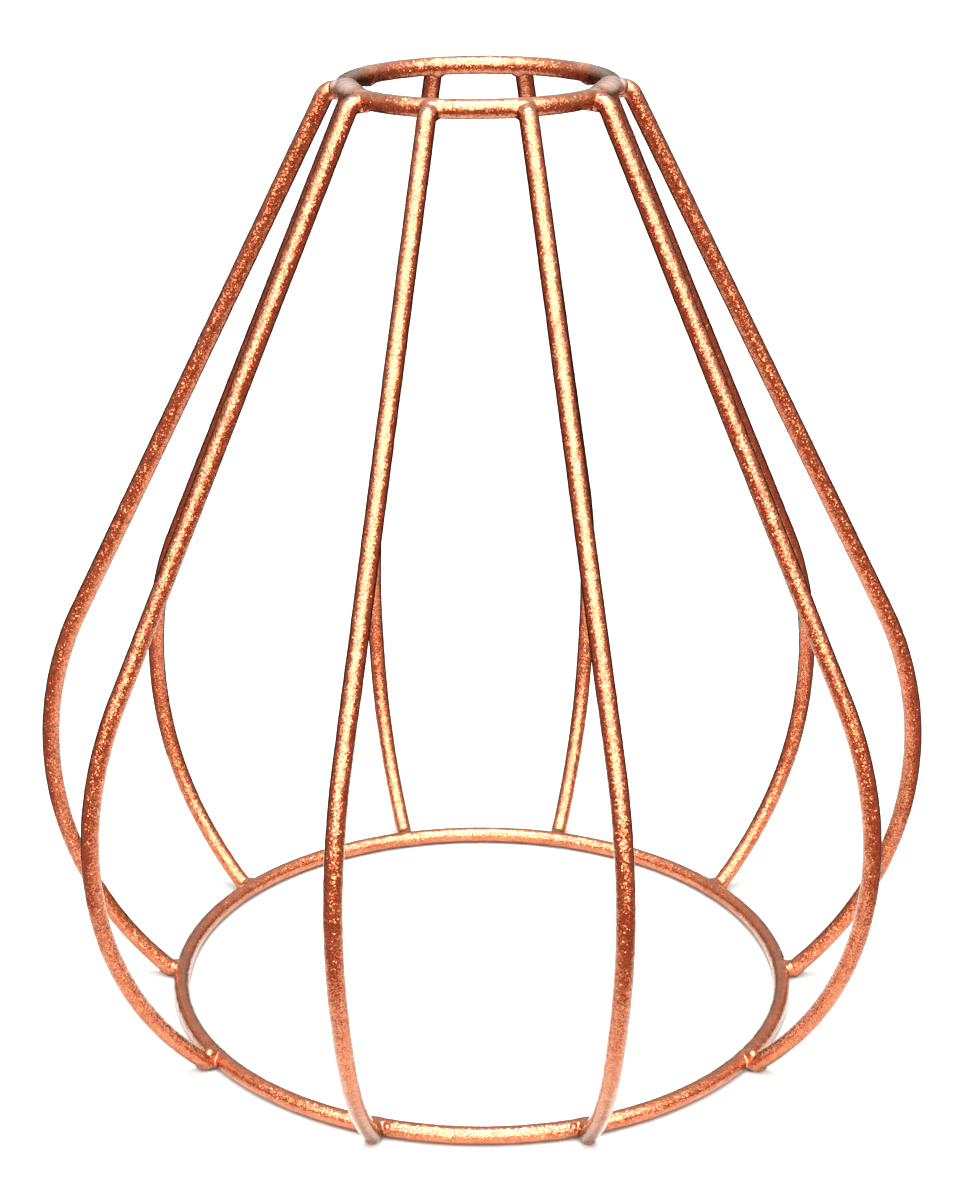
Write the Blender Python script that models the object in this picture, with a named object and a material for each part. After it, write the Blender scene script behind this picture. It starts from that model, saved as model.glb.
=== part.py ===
"""Wire lampshade: ten bent wire ribs welded between a small top ring and a wider bottom ring.

Metres, +Z up. The shade stands on its bottom ring, with its axis on Z. Azimuths are measured
round Z from the front, which is -Y, towards +X.
"""

import math

import bmesh
import bpy
from mathutils import Vector

# Wire and rings
WIRE_DIAMETER = 0.0032
TOP_HOLE_DIAMETER = 0.0426
BOTTOM_MOUTH_DIAMETER = 0.1127
RING_SPACING = 0.1702

# Rib outline: an elbow on the top ring, a straight run, one long bend round the belly,
# and an elbow on the bottom ring. The belly's size is over the wires, its bend's is to their
# middle, and an elbow's is to the inside of its bend.
BELLY_DIAMETER = 0.1648
BELLY_BEND_RADIUS = 0.0627
TOP_ELBOW_INSIDE_RADIUS = 0.0004
TOP_ELBOW_DROP = 0.0005
BOTTOM_ELBOW_INSIDE_RADIUS = 0.0009

# Where the ribs of the right-hand half lie, in degrees of azimuth: at their welds on the top
# ring, low on the belly, and at their welds on the bottom ring. The left-hand half is its
# mirror image.
TOP_WELD_AZIMUTHS = (18.4, 54.8, 90.0, 124.2, 162.0)
LOW_BELLY_AZIMUTHS = (16.4, 55.5, 90.0, 124.5, 163.5)
BOTTOM_WELD_AZIMUTHS = (17.9, 55.5, 90.0, 125.3, 164.1)
LOW_BELLY_HEIGHT = 0.036

# Weld beads, centred on the ring's top where the rib meets it: width along the ring, length
# along the rib, and height. Those on the top ring are flat, and those below stand up as lumps.
TOP_BEAD_SIZE = (0.0034, 0.0050, 0.0014)
BOTTOM_BEAD_SIZE = (0.0030, 0.0026, 0.0026)

# Gap kept between two solids that are fused on the real shade
CLEARANCE = 0.0003

# How finely the round shapes are divided
WIRE_BEVEL_RESOLUTION = 4
TOP_RING_STEPS = 40
BOTTOM_RING_STEPS = 64
ELBOW_STEPS = 4
STRAIGHT_STEPS = 3
BELLY_STEPS = 16
BEAD_SEGMENTS = 12
BEAD_RINGS = 6

WIRE_RADIUS = WIRE_DIAMETER / 2
TOP_RING_RADIUS = TOP_HOLE_DIAMETER / 2 + WIRE_RADIUS
BOTTOM_RING_RADIUS = BOTTOM_MOUTH_DIAMETER / 2 + WIRE_RADIUS
BOTTOM_RING_HEIGHT = WIRE_RADIUS
TOP_RING_HEIGHT = BOTTOM_RING_HEIGHT + RING_SPACING
TOP_ELBOW_RADIUS = TOP_ELBOW_INSIDE_RADIUS + WIRE_RADIUS
BOTTOM_ELBOW_RADIUS = BOTTOM_ELBOW_INSIDE_RADIUS + WIRE_RADIUS

COPPER_ON_RINGS = (0.46, 0.14, 0.055, 1.0)
COPPER_ON_RIBS = (0.52, 0.17, 0.065, 1.0)
COPPER_ON_WELDS = (0.60, 0.24, 0.11, 1.0)


def clear_scene():
    for obj in list(bpy.data.objects):
        bpy.data.objects.remove(obj, do_unlink=True)


def copper(name, colour, roughness):
    material = bpy.data.materials.new(name)
    material.use_nodes = True
    shader = material.node_tree.nodes["Principled BSDF"]
    shader.inputs["Base Color"].default_value = colour
    shader.inputs["Metallic"].default_value = 0.85
    shader.inputs["Roughness"].default_value = roughness
    return material


def arc(centre, radius, start, end, steps):
    """Points in the rib's own plane, from one angle to another about a centre, both ends included."""
    angles = [start + (end - start) * i / steps for i in range(steps + 1)]
    return [centre + radius * Vector((math.cos(a), math.sin(a))) for a in angles]


def angle_left_to_turn(depth):
    """How much of an elbow is still to come where its wire's end face clears the ring.

    The elbow would be level at the ring's outer surface. Its centre is that far out from the
    middle of the ring's wire, and the given depth from it in height.
    """
    stop = WIRE_RADIUS + CLEARANCE
    return math.atan2(depth, WIRE_RADIUS) - math.acos(stop / math.hypot(WIRE_RADIUS, depth))


def rib_outline():
    """Points (distance from the axis, height) of a rib's centre line, from the top ring down."""
    belly_radius = BELLY_DIAMETER / 2 - WIRE_RADIUS

    # The bottom elbow's centre is straight above the point where it would be level with its ring
    bottom_centre = Vector((
        BOTTOM_RING_RADIUS + WIRE_RADIUS,
        BOTTOM_RING_HEIGHT + BOTTOM_ELBOW_RADIUS,
    ))

    # The belly bend runs into the bottom elbow, so the two circles touch from inside
    belly_x = belly_radius - BELLY_BEND_RADIUS
    touching = BELLY_BEND_RADIUS - BOTTOM_ELBOW_RADIUS
    rise = math.sqrt(touching**2 - (bottom_centre.x - belly_x) ** 2)
    belly_centre = Vector((belly_x, bottom_centre.y + rise))
    to_bottom = bottom_centre - belly_centre
    bottom_turn = math.atan2(to_bottom.y, to_bottom.x)

    # The straight run is the outer tangent of the belly bend and the top elbow
    top_centre = Vector((
        TOP_RING_RADIUS + WIRE_RADIUS,
        TOP_RING_HEIGHT - TOP_ELBOW_DROP - TOP_ELBOW_RADIUS,
    ))
    to_top = top_centre - belly_centre
    lean = math.acos((BELLY_BEND_RADIUS - TOP_ELBOW_RADIUS) / to_top.length)
    tangent_angle = math.atan2(to_top.y, to_top.x) - lean

    top_left = angle_left_to_turn(TOP_ELBOW_RADIUS + TOP_ELBOW_DROP)
    bottom_left = angle_left_to_turn(BOTTOM_ELBOW_RADIUS)
    upright = math.pi / 2

    top_elbow = arc(top_centre, TOP_ELBOW_RADIUS, upright - top_left, tangent_angle, ELBOW_STEPS)
    belly = arc(belly_centre, BELLY_BEND_RADIUS, tangent_angle, bottom_turn, BELLY_STEPS)
    bottom_elbow = arc(
        bottom_centre, BOTTOM_ELBOW_RADIUS, bottom_turn, bottom_left - upright, ELBOW_STEPS
    )
    straight = [
        top_elbow[-1].lerp(belly[0], i / STRAIGHT_STEPS) for i in range(1, STRAIGHT_STEPS)
    ]
    return top_elbow + straight + belly + bottom_elbow[1:]


def on_azimuth(distance, azimuth, height):
    return Vector((distance * math.sin(azimuth), -distance * math.cos(azimuth), height))


def rib_points(outline, top_azimuth, low_azimuth, bottom_azimuth):
    """The outline stood up in space: it leans evenly from the top weld to the low belly, and bends
    aside from there to the bottom weld."""
    points = []
    for distance, height in outline:
        if height > LOW_BELLY_HEIGHT:
            share = (height - LOW_BELLY_HEIGHT) / (TOP_RING_HEIGHT - LOW_BELLY_HEIGHT)
            azimuth = low_azimuth + (top_azimuth - low_azimuth) * share
        else:
            share = (LOW_BELLY_HEIGHT - height) / (LOW_BELLY_HEIGHT - BOTTOM_RING_HEIGHT)
            azimuth = low_azimuth + (bottom_azimuth - low_azimuth) * share**2
        points.append(on_azimuth(distance, azimuth, height))
    return points


def ring_points(radius, height, steps):
    return [on_azimuth(radius, math.tau * i / steps, height) for i in range(steps)]


def bent_wire(name, points, radius, closed):
    """A round wire along the points, as a curve with a bevel."""
    curve = bpy.data.curves.new(name, "CURVE")
    curve.dimensions = "3D"
    curve.bevel_depth = radius
    curve.bevel_resolution = WIRE_BEVEL_RESOLUTION
    curve.use_fill_caps = not closed
    spline = curve.splines.new("POLY")
    spline.points.add(len(points) - 1)
    for spline_point, point in zip(spline.points, points):
        spline_point.co = (*point, 1.0)
    spline.use_cyclic_u = closed
    obj = bpy.data.objects.new(name, curve)
    bpy.context.scene.collection.objects.link(obj)
    return obj


def wire_cutter(name, points, closed):
    """The space that a wire and its clearance take up, as a hidden mesh that cuts a weld bead."""
    guide = bent_wire(name, points, WIRE_RADIUS + CLEARANCE, closed)
    graph = bpy.context.evaluated_depsgraph_get()
    mesh = bpy.data.meshes.new_from_object(guide.evaluated_get(graph))
    bpy.data.objects.remove(guide, do_unlink=True)
    shape = bmesh.new()
    shape.from_mesh(mesh)
    bmesh.ops.remove_doubles(shape, verts=shape.verts, dist=1e-6)
    bmesh.ops.recalc_face_normals(shape, faces=shape.faces)
    shape.to_mesh(mesh)
    shape.free()
    cutter = bpy.data.objects.new(name, mesh)
    cutter.hide_render = True
    cutter.display_type = "WIRE"
    bpy.context.scene.collection.objects.link(cutter)
    return cutter


def weld_bead(name, size, joint, azimuth, cutters, material):
    """A lump of weld metal on a joint, with the ring and the rib cut out of it."""
    mesh = bpy.data.meshes.new(name)
    shape = bmesh.new()
    bmesh.ops.create_uvsphere(
        shape, u_segments=BEAD_SEGMENTS, v_segments=BEAD_RINGS, radius=0.5
    )
    bmesh.ops.scale(shape, vec=size, verts=shape.verts)
    shape.to_mesh(mesh)
    shape.free()
    mesh.shade_smooth()
    mesh.materials.append(material)
    bead = bpy.data.objects.new(name, mesh)
    bead.location = joint
    bead.rotation_euler = (0, 0, azimuth)
    bpy.context.scene.collection.objects.link(bead)
    for cutter in cutters:
        cut = bead.modifiers.new("Room for " + cutter.name, "BOOLEAN")
        cut.operation = "DIFFERENCE"
        cut.solver = "EXACT"
        cut.object = cutter
    return bead


def main():
    clear_scene()
    ring_copper = copper("Copper on the rings", COPPER_ON_RINGS, 0.38)
    rib_copper = copper("Copper on the ribs", COPPER_ON_RIBS, 0.36)
    weld_copper = copper("Copper over the welds", COPPER_ON_WELDS, 0.30)

    ring_cutters = {}
    for name, radius, height, steps in (
        ("top_ring", TOP_RING_RADIUS, TOP_RING_HEIGHT, TOP_RING_STEPS),
        ("bottom_ring", BOTTOM_RING_RADIUS, BOTTOM_RING_HEIGHT, BOTTOM_RING_STEPS),
    ):
        points = ring_points(radius, height, steps)
        bent_wire(name, points, WIRE_RADIUS, True).data.materials.append(ring_copper)
        ring_cutters[name] = wire_cutter(name + "_space", points, True)

    outline = rib_outline()
    half = list(zip(TOP_WELD_AZIMUTHS, LOW_BELLY_AZIMUTHS, BOTTOM_WELD_AZIMUTHS))
    mirrored = [(-top, -low, -bottom) for top, low, bottom in reversed(half)]
    for number, degrees in enumerate(half + mirrored, start=1):
        top_azimuth, low_azimuth, bottom_azimuth = map(math.radians, degrees)
        points = rib_points(outline, top_azimuth, low_azimuth, bottom_azimuth)
        bent_wire(f"rib_{number:02}", points, WIRE_RADIUS, False).data.materials.append(rib_copper)
        rib_cutter = wire_cutter(f"rib_{number:02}_space", points, False)

        for place, ring_radius, ring_height, azimuth, bead_size in (
            ("top", TOP_RING_RADIUS, TOP_RING_HEIGHT, top_azimuth, TOP_BEAD_SIZE),
            ("bottom", BOTTOM_RING_RADIUS, BOTTOM_RING_HEIGHT, bottom_azimuth, BOTTOM_BEAD_SIZE),
        ):
            joint = on_azimuth(ring_radius + WIRE_RADIUS, azimuth, ring_height + WIRE_RADIUS)
            cutters = (ring_cutters[place + "_ring"], rib_cutter)
            weld_bead(f"weld_{place}_{number:02}", bead_size, joint, azimuth, cutters, weld_copper)


main()
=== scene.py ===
"""Looks of the wire lampshade: lacquered copper wire and welded joints, on white paper in soft
studio light.

Everything is in metres, in the frame of the CAD model: the shade stands on its bottom ring, with
its axis on Z. Azimuths are measured round Z from the front, which is -Y, towards +X.
"""

import math

import bmesh
import bpy
import numpy as np
from mathutils import Matrix, Vector


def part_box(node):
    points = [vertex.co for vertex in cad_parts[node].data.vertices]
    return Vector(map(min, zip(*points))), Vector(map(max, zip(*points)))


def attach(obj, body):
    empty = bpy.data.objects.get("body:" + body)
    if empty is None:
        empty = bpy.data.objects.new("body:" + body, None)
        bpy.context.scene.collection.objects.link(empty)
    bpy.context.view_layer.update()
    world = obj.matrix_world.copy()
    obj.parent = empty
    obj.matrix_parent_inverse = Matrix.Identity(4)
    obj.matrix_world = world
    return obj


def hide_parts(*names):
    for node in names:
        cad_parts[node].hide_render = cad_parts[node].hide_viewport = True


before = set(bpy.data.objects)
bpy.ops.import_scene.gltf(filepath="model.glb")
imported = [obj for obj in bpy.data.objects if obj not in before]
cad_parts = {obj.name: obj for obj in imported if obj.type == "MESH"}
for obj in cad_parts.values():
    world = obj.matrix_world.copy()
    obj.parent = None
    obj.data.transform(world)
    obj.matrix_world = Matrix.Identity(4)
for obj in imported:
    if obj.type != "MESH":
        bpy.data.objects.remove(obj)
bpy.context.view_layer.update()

MM = 0.001

# The photograph's framing. The lens axis is the picture's point that the lens looks straight at.
IMAGE_WIDTH = 969
IMAGE_HEIGHT = 1200
FOCAL_LENGTH_PX = 2457.8
LENS_AXIS_X_PX = 426.7
LENS_AXIS_Y_PX = 601.0
SENSOR = 36.0
CAMERA_ASIDE = 1.3 * MM
CAMERA_DISTANCE = 0.4207
CAMERA_HEIGHT = 0.2401
CAMERA_TURN = math.radians(1.5)
CAMERA_TILT_DOWN = math.radians(21.05)
CAMERA_ROLL = math.radians(-0.65)
NEAREST_SEEN = 10 * MM

# The key light: how wide it looks from the shade, how high it stands, and how strong it is on a
# surface that faces it
KEY_WIDTH = math.radians(96.0)
KEY_ELEVATION = math.radians(54.0)
KEY_STRENGTH = 5.0

# A small light straight above, which brightens the paper inside the shade and just round it
POOL_HEIGHT = 1.2
POOL_WIDTH = math.radians(11.0)
POOL_POWER = 60.0
POOL_SOFT_EDGE = 0.6
POOL_LAMP_RADIUS = 50 * MM

# The studio that the wire reflects. Its ceiling fades in from the horizon, and each entry is the
# upward part of a direction and the brightness there. Its walls are warm, and each entry is a
# share of the way from the front to the back and the brightness there.
CEILING = ((0.0, 0.0), (0.4, 0.80))
CEILING_TINT = (1.0, 1.0, 1.0)
WALLS = ((0.15, 0.58), (0.50, 0.52), (0.62, 0.52), (0.82, 0.04))
WALL_TINT = (1.0, 0.64, 0.56)

# Floor and backdrop
PAPER = "#BEBDBB"
PAPER_ROUGHNESS = 0.9
NEAR_FLOOR_RADIUS = 125 * MM
STUDIO_RADIUS = 7.0
FLOOR_SIDES = 96
BACKDROP_SIDES = 48
BACKDROP_STRENGTH = 2.0

# Wire and rings, as the frame has them
TOP_RING_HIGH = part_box("top_ring")[1]
BOTTOM_RING_LOW, BOTTOM_RING_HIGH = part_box("bottom_ring")
WIRE_RADIUS = (BOTTOM_RING_HIGH[2] - BOTTOM_RING_LOW[2]) / 2
TOP_RING_RADIUS = TOP_RING_HIGH[0] - WIRE_RADIUS
BOTTOM_RING_RADIUS = BOTTOM_RING_HIGH[0] - WIRE_RADIUS
TOP_RING_HEIGHT = TOP_RING_HIGH[2] - WIRE_RADIUS
BOTTOM_RING_HEIGHT = BOTTOM_RING_HIGH[2] - WIRE_RADIUS

# Rib outline: an elbow at the top ring, a straight run, one long bend round the belly and an
# elbow at the bottom ring
BELLY_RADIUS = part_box("rib_03")[1][0] - WIRE_RADIUS
BELLY_BEND_RADIUS = 62.7 * MM
TOP_ELBOW_RADIUS = 0.4 * MM + WIRE_RADIUS
TOP_ELBOW_DROP = 0.5 * MM
BOTTOM_ELBOW_RADIUS = 0.9 * MM + WIRE_RADIUS

# Where the ribs of the right-hand half lie, in degrees. The left-hand half is its mirror image.
TOP_WELD_AZIMUTHS = (18.4, 54.8, 90.0, 124.2, 162.0)
LOW_BELLY_AZIMUTHS = (16.4, 55.5, 90.0, 124.5, 163.5)
BOTTOM_WELD_AZIMUTHS = (17.9, 55.5, 90.0, 125.3, 164.1)
LOW_BELLY_HEIGHT = 36 * MM

# How the wire is drawn: the spacing of points on its guide and along the wire, the faces round
# it, and how far and how widely its skin swells and sinks
GUIDE_STEP = 0.5 * MM
FEWEST_BEND_STEPS = 4
WIRE_STEP = 0.32 * MM
WIRE_SIDES = 36
UNEVENNESS = 0.10 * MM
UNEVENNESS_SIZE = 2.2 * MM
RIB_SEEDS_AFTER = 10

# Lacquer. A ramp's entry is its place on a pattern that goes from 0 to 1, and the colour there.
# The real flakes are about half as wide, which is too fine to show in the render.
FLAKE_SIZE = 0.22 * MM
CLOUD_SIZE = 2.6 * MM
ORANGE_PEEL_SIZE = 0.9 * MM
ORANGE_PEEL_DEPTH = 0.10 * MM
COPPER_CLOUDS = ((0.38, "#A86449"), (0.60, "#BE7D62"))
BURNT_CLOUDS = ((0.35, "#C69A8A"), (0.65, "#D3B0A2"))
FLAKE_COLOURS = ((0.0, "#9E4E34"), (0.55, "#B06848"), (1.0, "#DAA878"))
FLAKE_COLOUR_SHARE = 0.5
EDGE_TINT = "#BCE7E7"
ROUGHNESS = 0.25
SCORCHED_ROUGHNESS = 0.42
COAT_WEIGHT = 0.85
COAT_ROUGHNESS = 0.12

# How far flakes lean out of the skin. A power of an even draw makes those that lean far rare.
FLAKE_TILT_LEAST = 0.30
FLAKE_TILT_MOST = 0.72
FLAKE_TILT_POWER = 3.0

# How scorching changes the lacquer. From no scorching to the first level the flakes are lost down
# to a small share of their lean, and from the second level on the colour goes to the burnt one.
SCORCHED = "scorched"
FLAKES_LOST_AT = 0.4
FLAKES_LEFT = 0.12
BURNT_FROM = 0.5

# A joint is made of lumps that flow together. Each is given in millimetres: how far its middle
# lies outwards, backwards along the ring and up from the middle of the ring's wire, and then its
# half-size each of those ways. The sleeve and the stub run along the two wires and die away
# into them.
RING_SLEEVE = (0.0, 0.0, 0.0, 1.67, 4.8, 1.67)
TOP_STUB = (0.9, 0.0, -0.5, 2.4, 1.68, 1.68)
BOTTOM_STUB = (1.7, 0.0, 0.0, 3.2, 1.68, 1.68)
LUMP_FINENESS = 5
WELD_GRAIN = 0.13 * MM
WELD_FLOW = 0.5
WELD_FLOW_ROUNDS = 28

# Top joints from the front to the back: a flat pad, a joint drawn out forwards with a drip under
# the ring, a broad web that reaches forwards to it, and two plain ones behind
TOP_WELDS = (
    ((0.7, 0.0, 0.30, 1.6, 1.9, 1.25), (1.1, 0.0, -0.3, 1.2, 2.3, 1.20)),
    ((0.4, -1.3, 0.00, 1.35, 4.6, 1.60), (0.9, -1.9, -1.40, 0.50, 0.5, 0.5)),
    (
        (-0.5, -2.0, 0.10, 2.2, 5.0, 1.66),
        (-0.6, -4.5, 0.10, 2.4, 5.0, 1.66),
        (-0.6, -7.0, 0.10, 2.4, 5.0, 1.66),
        (-0.4, -9.5, 0.10, 2.1, 4.6, 1.66),
        (-0.2, -11.5, 0.10, 1.9, 4.0, 1.66),
        (1.3, -0.9, -0.10, 1.3, 2.4, 1.40),
    ),
    ((0.9, 0.6, 0.00, 1.3, 2.5, 1.35),),
    ((0.9, 0.0, 0.00, 1.3, 2.3, 1.30),),
)

# Bottom joints from the front to the back: a small bead beside the first rib, a tall one on the
# second, a round one low on the third, and two plain ones behind
BOTTOM_WELDS = (
    ((0.9, -2.1, 0.80, 0.9, 0.8, 0.80), (1.0, 0.0, 0.1, 1.2, 2.1, 1.20)),
    ((1.9, -0.2, 1.35, 1.2, 1.1, 1.30), (0.9, 0.0, 0.0, 1.1, 2.4, 1.10)),
    ((1.9, -0.9, 0.60, 1.1, 1.1, 1.25), (1.1, 0.0, 0.0, 1.1, 2.0, 1.10)),
    ((1.2, 0.0, 0.80, 1.0, 1.5, 0.90),),
    ((1.2, 0.0, 0.80, 1.0, 1.4, 0.90),),
)

# Where the heat of welding reached, as lumps again, how strong the scorching is inside each, and
# how much it loses for each further half-size outside
TOP_SCORCHES = (
    (0.6, 0.0, 0.80, 1.7, 2.1, 1.5),
    (-0.6, 1.4, 1.20, 1.8, 2.4, 1.6),
    (-0.2, -6.0, 0.50, 3.3, 5.0, 2.8),
    (0.0, 0.0, 1.20, 1.4, 2.0, 1.2),
    (0.0, 0.0, 1.20, 1.0, 1.5, 1.0),
)
TOP_SCORCH_LEVELS = (0.5, 0.7, 1.0, 0.6, 0.5)
BOTTOM_SCORCH = (1.8, 0.0, 0.6, 1.6, 1.6, 1.6)
BOTTOM_SCORCH_LEVEL = 0.45
SCORCH_FADE = 1.4


def linear(hex_colour):
    """An sRGB hex colour as linear values with alpha."""
    channels = [int(hex_colour[i:i + 2], 16) / 255 for i in (1, 3, 5)]
    return (*[c / 12.92 if c <= 0.04045 else ((c + 0.055) / 1.055) ** 2.4 for c in channels], 1.0)


def put(name, data):
    """A new object in the scene, at the origin."""
    obj = bpy.data.objects.new(name, data)
    bpy.context.scene.collection.objects.link(obj)
    return obj


def add(tree, kind, inputs=None, **settings):
    """A node with its settings. An input is a value, or the output socket that feeds it."""
    node = tree.nodes.new(kind)
    for name, value in settings.items():
        setattr(node, name, value)
    for name, value in (inputs or {}).items():
        socket = node.inputs[name]
        if isinstance(value, bpy.types.NodeSocket):
            tree.links.new(value, socket)
        else:
            socket.default_value = value
    return node


def ramp(tree, factor, stops):
    """The colour of a ramp through (position, linear colour) stops."""
    node = add(tree, "ShaderNodeValToRGB", {"Fac": factor})
    elements = node.color_ramp.elements
    while len(elements) < len(stops):
        elements.new(0.5)
    for element, (position, colour) in zip(elements, stops):
        element.position = position
        element.color = colour
    return node.outputs["Color"]


def hex_stops(stops):
    return [(position, linear(colour)) for position, colour in stops]


def tinted_stops(stops, tint):
    return [(position, (*[level * share for share in tint], 1.0)) for position, level in stops]


def lacquered_copper():
    """Steel wire under antique copper lacquer with metal flake, sprayed on.

    Each flake lies at its own tilt, so the edge of the light's streak breaks up and single flecks
    light up beside it. The lacquer's own skin is a fine orange peel, its clear top turns the middle
    of the streak nearly white, and its edges go dark. Where it was scorched the flakes are gone,
    and where it was scorched most the colour is a smooth grey-brown.
    """
    material = bpy.data.materials.new("Lacquered copper")
    material.use_nodes = True
    tree = material.node_tree
    shader = tree.nodes["Principled BSDF"]
    place = add(tree, "ShaderNodeTexCoord").outputs["Object"]
    scorched = add(tree, "ShaderNodeAttribute", attribute_name=SCORCHED).outputs["Fac"]

    clouds = add(
        tree, "ShaderNodeTexNoise",
        {"Vector": place, "Scale": 1 / CLOUD_SIZE, "Detail": 4.0, "Roughness": 0.65},
    ).outputs["Fac"]
    flakes = add(
        tree, "ShaderNodeTexVoronoi", {"Vector": place, "Scale": 1 / FLAKE_SIZE}
    ).outputs["Color"]
    draws = add(tree, "ShaderNodeSeparateXYZ", {"Vector": flakes}).outputs

    flaked = add(
        tree, "ShaderNodeMix",
        {
            "Factor": FLAKE_COLOUR_SHARE,
            "A": ramp(tree, clouds, hex_stops(COPPER_CLOUDS)),
            "B": ramp(tree, draws["Y"], hex_stops(FLAKE_COLOURS)),
        },
        data_type="RGBA",
    )
    burnt = add(tree, "ShaderNodeMapRange", {"Value": scorched, "From Min": BURNT_FROM})
    tint = add(
        tree, "ShaderNodeMix",
        {
            "Factor": burnt.outputs["Result"],
            "A": flaked.outputs["Result"],
            "B": ramp(tree, clouds, hex_stops(BURNT_CLOUDS)),
        },
        data_type="RGBA",
    )
    tree.links.new(tint.outputs["Result"], shader.inputs["Base Color"])

    centred = add(
        tree, "ShaderNodeVectorMath", {0: flakes, 1: (0.5, 0.5, 0.5)}, operation="SUBTRACT"
    )
    rare = add(
        tree, "ShaderNodeMath", {0: draws["Z"], 1: FLAKE_TILT_POWER}, operation="POWER"
    )
    leans = add(
        tree, "ShaderNodeMapRange",
        {"Value": rare.outputs["Value"], "To Min": FLAKE_TILT_LEAST, "To Max": FLAKE_TILT_MOST},
    )
    left = add(
        tree, "ShaderNodeMapRange",
        {"Value": scorched, "From Max": FLAKES_LOST_AT, "To Min": 1.0, "To Max": FLAKES_LEFT},
    )
    strength = add(
        tree, "ShaderNodeMath",
        {0: leans.outputs["Result"], 1: left.outputs["Result"]},
        operation="MULTIPLY",
    )
    tilt = add(
        tree, "ShaderNodeVectorMath",
        {"Vector": centred.outputs["Vector"], "Scale": strength.outputs["Value"]},
        operation="SCALE",
    )
    leaning = add(
        tree, "ShaderNodeVectorMath",
        {0: add(tree, "ShaderNodeNewGeometry").outputs["Normal"], 1: tilt.outputs["Vector"]},
        operation="ADD",
    )
    facet = add(
        tree, "ShaderNodeVectorMath", {"Vector": leaning.outputs["Vector"]}, operation="NORMALIZE"
    )
    skin = add(
        tree, "ShaderNodeTexNoise",
        {"Vector": place, "Scale": 1 / ORANGE_PEEL_SIZE, "Detail": 2.0, "Roughness": 0.5},
    )
    orange_peel = add(
        tree, "ShaderNodeBump",
        {
            "Height": skin.outputs["Fac"],
            "Distance": ORANGE_PEEL_DEPTH,
            "Normal": facet.outputs["Vector"],
        },
    )
    tree.links.new(orange_peel.outputs["Normal"], shader.inputs["Normal"])

    dulled = add(
        tree, "ShaderNodeMapRange",
        {"Value": scorched, "To Min": ROUGHNESS, "To Max": SCORCHED_ROUGHNESS},
    )
    tree.links.new(dulled.outputs["Result"], shader.inputs["Roughness"])
    shader.inputs["Metallic"].default_value = 1.0
    shader.inputs["Specular Tint"].default_value = linear(EDGE_TINT)
    shader.inputs["Coat Weight"].default_value = COAT_WEIGHT
    shader.inputs["Coat Roughness"].default_value = COAT_ROUGHNESS
    return material


def bent_wire_tree():
    """Geometry Nodes that sweep a round wire along its guide and give it the slight unevenness of
    wire that was bent and sprayed by hand."""
    tree = bpy.data.node_groups.new("Bent wire", "GeometryNodeTree")
    sockets = tree.interface
    sockets.new_socket("Guide", in_out="INPUT", socket_type="NodeSocketGeometry")
    sockets.new_socket("Wire", in_out="OUTPUT", socket_type="NodeSocketGeometry")
    for name, kind in (
        ("Wire radius", "NodeSocketFloat"),
        ("Step", "NodeSocketFloat"),
        ("Sides", "NodeSocketInt"),
        ("Unevenness", "NodeSocketFloat"),
        ("Unevenness size", "NodeSocketFloat"),
        ("Seed", "NodeSocketFloat"),
        ("Finish", "NodeSocketMaterial"),
    ):
        sockets.new_socket(name, in_out="INPUT", socket_type=kind)
    given = add(tree, "NodeGroupInput").outputs
    guide = add(
        tree, "GeometryNodeResampleCurve",
        {"Curve": given["Guide"], "Length": given["Step"]},
        mode="LENGTH",
    )
    section = add(
        tree, "GeometryNodeCurvePrimitiveCircle",
        {"Resolution": given["Sides"], "Radius": given["Wire radius"]},
    )
    swept = add(
        tree, "GeometryNodeCurveToMesh",
        {
            "Curve": guide.outputs["Curve"],
            "Profile Curve": section.outputs["Curve"],
            "Fill Caps": True,
        },
    )
    frequency = add(
        tree, "ShaderNodeMath", {0: 1.0, 1: given["Unevenness size"]}, operation="DIVIDE"
    )
    waves = add(
        tree, "ShaderNodeTexNoise",
        {"W": given["Seed"], "Scale": frequency.outputs["Value"], "Detail": 0.0},
        noise_dimensions="4D",
    )
    centred = add(
        tree, "ShaderNodeMath", {0: waves.outputs["Fac"], 1: 0.5}, operation="SUBTRACT"
    )
    height = add(
        tree, "ShaderNodeMath",
        {0: centred.outputs["Value"], 1: given["Unevenness"]},
        operation="MULTIPLY",
    )
    outwards = add(
        tree, "ShaderNodeVectorMath",
        {
            "Vector": add(tree, "GeometryNodeInputNormal").outputs["Normal"],
            "Scale": height.outputs["Value"],
        },
        operation="SCALE",
    )
    uneven = add(
        tree, "GeometryNodeSetPosition",
        {"Geometry": swept.outputs["Mesh"], "Offset": outwards.outputs["Vector"]},
    )
    smooth = add(tree, "GeometryNodeSetShadeSmooth", {"Geometry": uneven.outputs["Geometry"]})
    real = add(tree, "GeometryNodeRealizeInstances", {"Geometry": smooth.outputs["Geometry"]})
    finished = add(
        tree, "GeometryNodeSetMaterial",
        {"Geometry": real.outputs["Geometry"], "Material": given["Finish"]},
    )
    add(tree, "NodeGroupOutput", {"Wire": finished.outputs["Geometry"]})
    return tree


def set_inputs(modifier, **values):
    """Gives a Geometry Nodes modifier its values by the sockets' names, spaces as underscores."""
    for item in modifier.node_group.interface.items_tree:
        key = item.name.replace(" ", "_")
        if item.in_out == "INPUT" and key in values:
            modifier[item.identifier] = values[key]


def plain_mesh(obj, name):
    """The object as it is evaluated, as a new plain mesh object in its place."""
    graph = bpy.context.evaluated_depsgraph_get()
    mesh = bpy.data.meshes.new_from_object(obj.evaluated_get(graph))
    mesh.name = name
    bpy.data.objects.remove(obj, do_unlink=True)
    return put(name, mesh)


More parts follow.
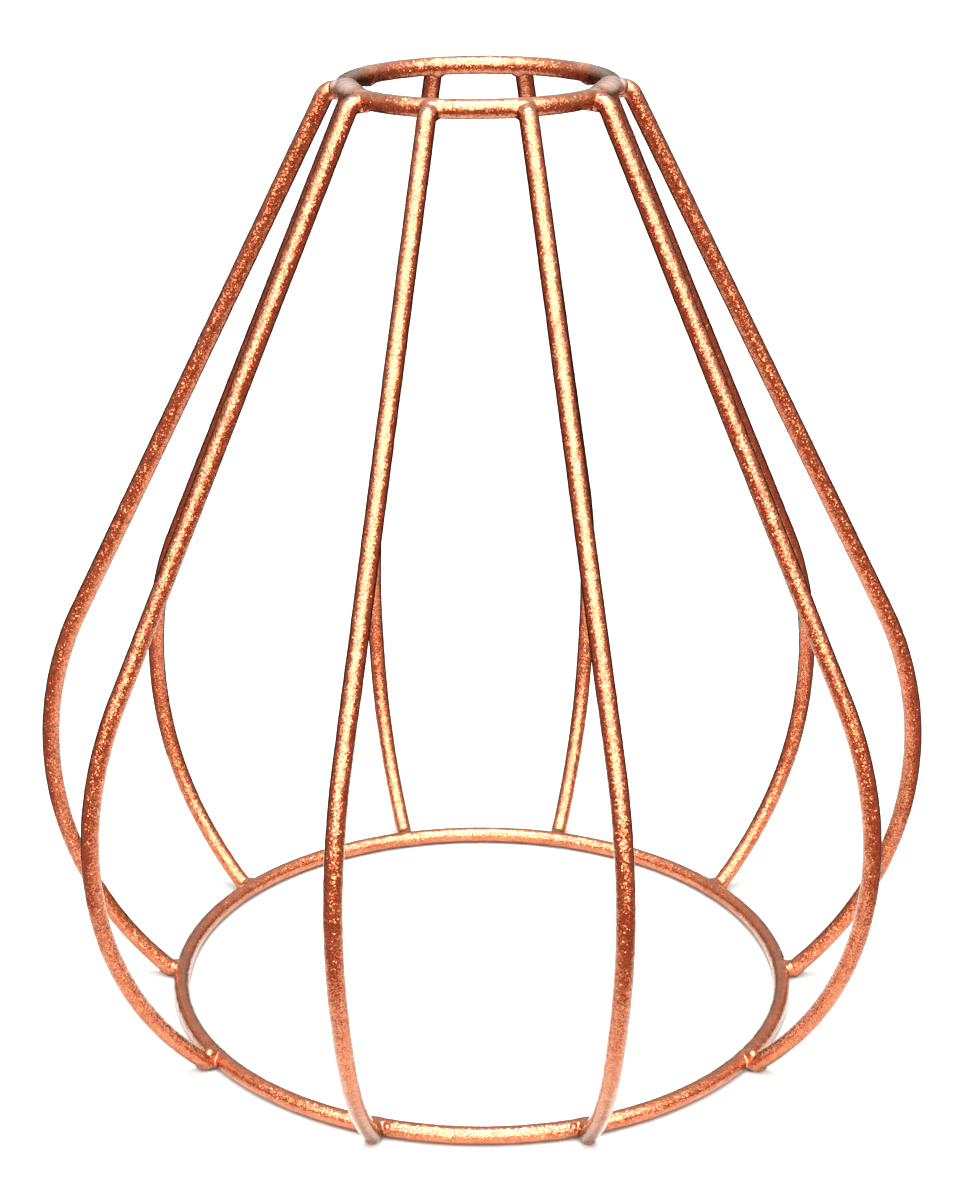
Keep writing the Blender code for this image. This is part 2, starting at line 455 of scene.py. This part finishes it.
def guide_curve(name, points, closed):
    curve = bpy.data.curves.new(name, "CURVE")
    curve.dimensions = "3D"
    spline = curve.splines.new("POLY")
    spline.points.add(len(points) - 1)
    for spline_point, point in zip(spline.points, points):
        spline_point.co = (*point, 1.0)
    spline.use_cyclic_u = closed
    return put(name, curve)


def wire(tree, name, points, closed, seed, material):
    guide = guide_curve(name + "_guide", points, closed)
    sweep = guide.modifiers.new("Bent wire", "NODES")
    sweep.node_group = tree
    set_inputs(
        sweep,
        Wire_radius=WIRE_RADIUS,
        Step=WIRE_STEP,
        Sides=WIRE_SIDES,
        Unevenness=UNEVENNESS,
        Unevenness_size=UNEVENNESS_SIZE,
        Seed=float(seed),
        Finish=material,
    )
    return plain_mesh(guide, name)


def on_azimuth(distance, azimuth, height):
    return Vector((distance * math.sin(azimuth), -distance * math.cos(azimuth), height))


def arc(centre, radius, start, end):
    """Points in the rib's own plane, from one angle to another about a centre."""
    steps = max(FEWEST_BEND_STEPS, round(abs(end - start) * radius / GUIDE_STEP))
    angles = [start + (end - start) * i / steps for i in range(steps + 1)]
    return [centre + radius * Vector((math.cos(a), math.sin(a))) for a in angles]


def rib_outline():
    """Points (distance from the axis, height) of a rib's centre line, from inside the top ring's
    wire down to inside the bottom ring's."""
    upright = math.pi / 2
    bottom_centre = Vector((
        BOTTOM_RING_RADIUS + WIRE_RADIUS,
        BOTTOM_RING_HEIGHT + BOTTOM_ELBOW_RADIUS,
    ))
    belly_x = BELLY_RADIUS - BELLY_BEND_RADIUS
    touching = BELLY_BEND_RADIUS - BOTTOM_ELBOW_RADIUS
    rise = math.sqrt(touching**2 - (bottom_centre.x - belly_x) ** 2)
    belly_centre = Vector((belly_x, bottom_centre.y + rise))
    to_bottom = bottom_centre - belly_centre
    bottom_turn = math.atan2(to_bottom.y, to_bottom.x)

    top_centre = Vector((
        TOP_RING_RADIUS + WIRE_RADIUS,
        TOP_RING_HEIGHT - TOP_ELBOW_DROP - TOP_ELBOW_RADIUS,
    ))
    to_top = top_centre - belly_centre
    lean = math.acos((BELLY_BEND_RADIUS - TOP_ELBOW_RADIUS) / to_top.length)
    tangent_angle = math.atan2(to_top.y, to_top.x) - lean

    return [
        Vector((TOP_RING_RADIUS, TOP_RING_HEIGHT - TOP_ELBOW_DROP)),
        *arc(top_centre, TOP_ELBOW_RADIUS, upright, tangent_angle),
        *arc(belly_centre, BELLY_BEND_RADIUS, tangent_angle, bottom_turn),
        *arc(bottom_centre, BOTTOM_ELBOW_RADIUS, bottom_turn, -upright),
        Vector((BOTTOM_RING_RADIUS, BOTTOM_RING_HEIGHT)),
    ]


def rib_points(outline, top_azimuth, low_azimuth, bottom_azimuth):
    """The outline stood up in space: it leans evenly from the top weld to the low belly, and bends
    aside from there to the bottom weld."""
    points = []
    for distance, height in outline:
        if height > LOW_BELLY_HEIGHT:
            share = (height - LOW_BELLY_HEIGHT) / (TOP_RING_HEIGHT - LOW_BELLY_HEIGHT)
            azimuth = low_azimuth + (top_azimuth - low_azimuth) * share
        else:
            share = (LOW_BELLY_HEIGHT - height) / (LOW_BELLY_HEIGHT - BOTTOM_RING_HEIGHT)
            azimuth = low_azimuth + (bottom_azimuth - low_azimuth) * share**2
        points.append(on_azimuth(distance, azimuth, height))
    return points


def ring_points(radius, height):
    steps = round(math.tau * radius / GUIDE_STEP)
    return [on_azimuth(radius, math.tau * i / steps, height) for i in range(steps)]


def lump_matrix(azimuth, ring_radius, ring_height, lump):
    """Turns a ball of radius 1 into a lump of the joint at the azimuth."""
    out, back, up, half_out, half_back, half_up = [size * MM for size in lump]
    side = math.copysign(1.0, azimuth)
    turned = azimuth + side * back / ring_radius
    outwards = on_azimuth(1.0, turned, 0.0)
    backwards = Vector((math.cos(turned), math.sin(turned), 0.0)) * side
    upwards = Vector((0.0, 0.0, 1.0))
    axes = Matrix((outwards * half_out, backwards * half_back, upwards * half_up))
    place = axes.transposed().to_4x4()
    place.translation = on_azimuth(ring_radius + out, turned, ring_height + up)
    return place


def weld(name, places, material):
    """Weld metal that has run between a ring and a rib and set smooth under the lacquer."""
    shape = bmesh.new()
    for place in places:
        bmesh.ops.create_icosphere(shape, subdivisions=LUMP_FINENESS, radius=1.0, matrix=place)
    mesh = bpy.data.meshes.new(name)
    shape.to_mesh(mesh)
    shape.free()
    lumps = put(name + "_lumps", mesh)
    melt = lumps.modifiers.new("Melt", "REMESH")
    melt.mode = "VOXEL"
    melt.voxel_size = WELD_GRAIN
    melt.use_smooth_shade = True
    flow = lumps.modifiers.new("Flow", "SMOOTH")
    flow.factor = WELD_FLOW
    flow.iterations = WELD_FLOW_ROUNDS
    piece = plain_mesh(lumps, name)
    piece.data.materials.append(material)
    return piece


def scorch(piece, scorches):
    """Stores how scorched each point of a piece is: fully inside each place, fading outside it."""
    points = np.empty(len(piece.data.vertices) * 3, dtype=np.float32)
    piece.data.vertices.foreach_get("co", points)
    points = points.reshape(-1, 3)
    amount = np.zeros(len(points), dtype=np.float32)
    for place, level in scorches:
        inverse = np.array(place.inverted(), dtype=np.float32)
        local = points @ inverse[:3, :3].T + inverse[:3, 3]
        distance = np.linalg.norm(local, axis=1)
        fading = np.clip((1.0 + SCORCH_FADE) - SCORCH_FADE * distance, 0.0, 1.0)
        amount = np.maximum(amount, level * fading)
    store = piece.data.attributes.new(SCORCHED, "FLOAT", "POINT")
    store.data.foreach_set("value", amount)


def dress(piece, slot, *nodes):
    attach(piece, "root")
    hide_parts(*nodes)


def make_shade():
    copper = lacquered_copper()
    tree = bent_wire_tree()
    outline = rib_outline()
    half = list(zip(TOP_WELD_AZIMUTHS, LOW_BELLY_AZIMUTHS, BOTTOM_WELD_AZIMUTHS))
    mirrored = [(-top, -low, -bottom) for top, low, bottom in reversed(half)]
    top_scorches = []
    bottom_scorches = []
    for number, degrees in enumerate(half + mirrored, start=1):
        kind = min(number - 1, 2 * len(half) - number)
        top_azimuth, low_azimuth, bottom_azimuth = map(math.radians, degrees)
        top_joint = (top_azimuth, TOP_RING_RADIUS, TOP_RING_HEIGHT)
        bottom_joint = (bottom_azimuth, BOTTOM_RING_RADIUS, BOTTOM_RING_HEIGHT)
        top_scorch = (lump_matrix(*top_joint, TOP_SCORCHES[kind]), TOP_SCORCH_LEVELS[kind])
        bottom_scorch = (lump_matrix(*bottom_joint, BOTTOM_SCORCH), BOTTOM_SCORCH_LEVEL)
        top_scorches.append(top_scorch)
        bottom_scorches.append(bottom_scorch)

        points = rib_points(outline, top_azimuth, low_azimuth, bottom_azimuth)
        seed = RIB_SEEDS_AFTER + number
        piece = wire(tree, f"rib_wire_{number:02}", points, False, seed, copper)
        dress(piece, "rib_wire", f"rib_{number:02}")
        scorch(piece, (top_scorch, bottom_scorch))

        for end, joint, stub, lumps, scorched in (
            ("top", top_joint, TOP_STUB, TOP_WELDS[kind], top_scorch),
            ("bottom", bottom_joint, BOTTOM_STUB, BOTTOM_WELDS[kind], bottom_scorch),
        ):
            places = [lump_matrix(*joint, lump) for lump in (RING_SLEEVE, stub, *lumps)]
            piece = weld(f"{end}_weld_{number:02}", places, copper)
            dress(piece, "weld_metal", f"weld_{end}_{number:02}")
            scorch(piece, (scorched,))

    for seed, (name, radius, height, scorches) in enumerate((
        ("top_ring", TOP_RING_RADIUS, TOP_RING_HEIGHT, top_scorches),
        ("bottom_ring", BOTTOM_RING_RADIUS, BOTTOM_RING_HEIGHT, bottom_scorches),
    )):
        piece = wire(tree, name + "_wire", ring_points(radius, height), True, seed, copper)
        dress(piece, "ring_wire", name)
        scorch(piece, scorches)


def stage_piece(name, shape, material):
    mesh = bpy.data.meshes.new(name)
    shape.to_mesh(mesh)
    shape.free()
    mesh.materials.append(material)
    obj = put(name, mesh)
    return obj


def make_floor():
    """White paper. Beyond the near part it is left out of the reflections in the wire, which then
    has the dark edges that wire has in a room."""
    paper = bpy.data.materials.new("Pale matt paper")
    paper.use_nodes = True
    shader = paper.node_tree.nodes["Principled BSDF"]
    shader.inputs["Base Color"].default_value = linear(PAPER)
    shader.inputs["Roughness"].default_value = PAPER_ROUGHNESS

    disc = bmesh.new()
    bmesh.ops.create_circle(
        disc, cap_ends=True, segments=FLOOR_SIDES, radius=NEAR_FLOOR_RADIUS
    )
    stage_piece("floor_near", disc, paper)

    ring = bmesh.new()
    for radius in (NEAR_FLOOR_RADIUS, STUDIO_RADIUS):
        bmesh.ops.create_circle(ring, segments=FLOOR_SIDES, radius=radius)
    bmesh.ops.bridge_loops(ring, edges=ring.edges)
    far = stage_piece("floor_far", ring, paper)
    far.visible_glossy = False


def make_backdrop():
    """A plain white backdrop all round, which is seen but lights nothing and shades nothing."""
    white = bpy.data.materials.new("White backdrop")
    white.use_nodes = True
    shader = white.node_tree.nodes["Principled BSDF"]
    shader.inputs["Base Color"].default_value = linear("#000000")
    shader.inputs["Emission Color"].default_value = linear("#FFFFFF")
    shader.inputs["Emission Strength"].default_value = BACKDROP_STRENGTH

    ball = bmesh.new()
    bmesh.ops.create_uvsphere(
        ball, u_segments=BACKDROP_SIDES, v_segments=BACKDROP_SIDES // 2, radius=STUDIO_RADIUS
    )
    bmesh.ops.reverse_faces(ball, faces=ball.faces)
    backdrop = stage_piece("backdrop", ball, white)
    backdrop.visible_diffuse = False
    backdrop.visible_glossy = False
    backdrop.visible_transmission = False
    backdrop.visible_shadow = False


def make_studio():
    """What the wire reflects above the floor: a white ceiling, and walls that are warm in front
    and at the sides and nearly black at the back, whichever is brighter."""
    world = bpy.data.worlds.new("Studio")
    world.use_nodes = True
    tree = world.node_tree
    direction = add(tree, "ShaderNodeTexCoord").outputs["Generated"]
    axes = add(tree, "ShaderNodeSeparateXYZ", {"Vector": direction}).outputs
    backwards = add(tree, "ShaderNodeMapRange", {"Value": axes["Y"], "From Min": -1.0})
    brightness = add(
        tree, "ShaderNodeMix",
        {
            "Factor": 1.0,
            "A": ramp(tree, axes["Z"], tinted_stops(CEILING, CEILING_TINT)),
            "B": ramp(tree, backwards.outputs["Result"], tinted_stops(WALLS, WALL_TINT)),
        },
        data_type="RGBA", blend_type="LIGHTEN",
    )
    background = tree.nodes["Background"]
    tree.links.new(brightness.outputs["Result"], background.inputs["Color"])
    bpy.context.scene.world = world


def make_lights():
    """A wide soft key above and in front, and a small pool of light on the paper."""
    key = bpy.data.lights.new("key", "SUN")
    key.angle = KEY_WIDTH
    key.energy = KEY_STRENGTH
    put("key", key).rotation_euler = (math.pi / 2 - KEY_ELEVATION, 0.0, 0.0)

    pool = bpy.data.lights.new("pool", "SPOT")
    pool.energy = POOL_POWER
    pool.spot_size = POOL_WIDTH
    pool.spot_blend = POOL_SOFT_EDGE
    pool.shadow_soft_size = POOL_LAMP_RADIUS
    put("pool", pool).location = (0.0, 0.0, POOL_HEIGHT)


def make_camera():
    """The photograph's view, and a look with the photograph's high contrast."""
    lens = bpy.data.cameras.new("camera")
    lens.sensor_fit = "VERTICAL"
    lens.sensor_height = SENSOR
    lens.lens = FOCAL_LENGTH_PX * SENSOR / IMAGE_HEIGHT
    lens.shift_x = (IMAGE_WIDTH / 2 - LENS_AXIS_X_PX) / IMAGE_HEIGHT
    lens.shift_y = (LENS_AXIS_Y_PX - IMAGE_HEIGHT / 2) / IMAGE_HEIGHT
    lens.clip_start = NEAREST_SEEN

    camera = put("camera", lens)
    camera.location = (CAMERA_ASIDE, -CAMERA_DISTANCE, CAMERA_HEIGHT)
    turn = Matrix.Rotation(CAMERA_TURN, 3, "Z")
    tilt = Matrix.Rotation(math.pi / 2 - CAMERA_TILT_DOWN, 3, "X")
    roll = Matrix.Rotation(CAMERA_ROLL, 3, "Z")
    camera.rotation_euler = (turn @ tilt @ roll).to_euler()
    bpy.context.scene.camera = camera
    bpy.context.scene.view_settings.view_transform = "Standard"
    bpy.context.scene.view_settings.look = "High Contrast"


make_camera()
make_floor()
make_backdrop()
make_studio()
make_lights()
make_shade()
